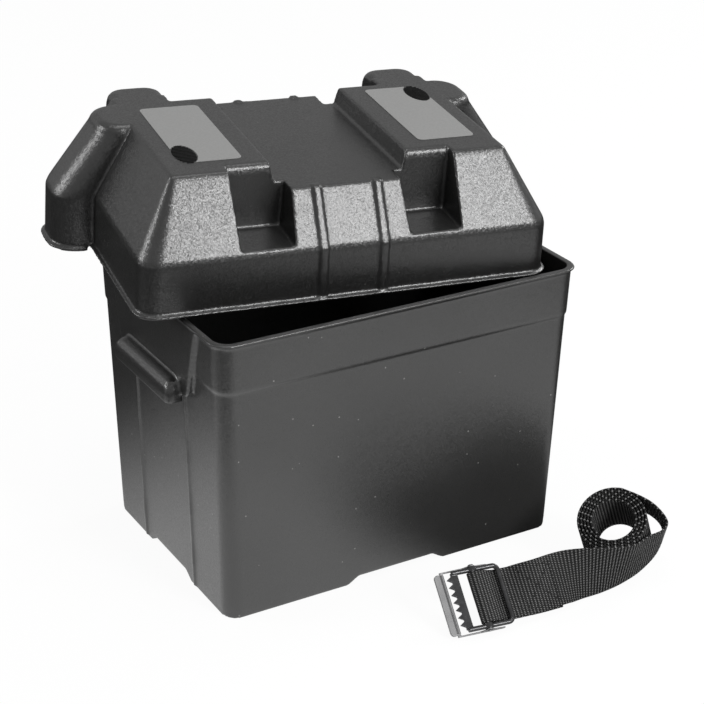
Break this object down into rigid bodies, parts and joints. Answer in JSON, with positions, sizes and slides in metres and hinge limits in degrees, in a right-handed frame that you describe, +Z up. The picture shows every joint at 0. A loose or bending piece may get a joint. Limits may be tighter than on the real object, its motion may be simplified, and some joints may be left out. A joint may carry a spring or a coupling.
{
  "type": "battery box",
  "caption": "Drafted plastic tub with hand grips, a lift-off lid with cable hoods lying askew on the rim, and a loose webbing strap with a toothed lever buckle.",
  "frame": {"origin": "centre of the tub's underside, on the plane of its four feet", "axes": "+X along the tub's length, -Y towards its front, +Z up"},
  "size_m": [0.3744, 0.3742, 0.3226],
  "materials": {
    "shell": "fine grain",
    "label": "plain, matt",
    "webbing": "ribbed weave",
    "thread": "twisted",
    "frame": "gloss black",
    "pin": "plated",
    "lever": "satin plated"
  },
  "bodies": {
    "tub": {"tub": "shell"},
    "lid": {"lid": "shell", "label_left": "label", "label_right": "label"},
    "strap": {"webbing_roll": "webbing", "webbing_run": "webbing", "strap_stitching": "thread", "buckle_frame": "frame", "lever_pin": "pin"},
    "lever": {"buckle_lever": "lever"}
  },
  "joints": [
    {"name": "lid_lift", "type": "slide", "parent": "tub", "child": "lid", "axis": [0, 0, 1], "range_m": [0, 0.2]},
    {"name": "strap_lift", "type": "slide", "parent": "tub", "child": "strap", "axis": [0, 0, 1], "range_m": [0, 0.25]},
    {"name": "lever_hinge", "type": "hinge", "parent": "strap", "child": "lever", "pos_m": [0.01579, -0.18366, 0.021], "axis": [0.1198, 0.7566, 0.6428], "range_deg": [0, 100]}
  ]
}
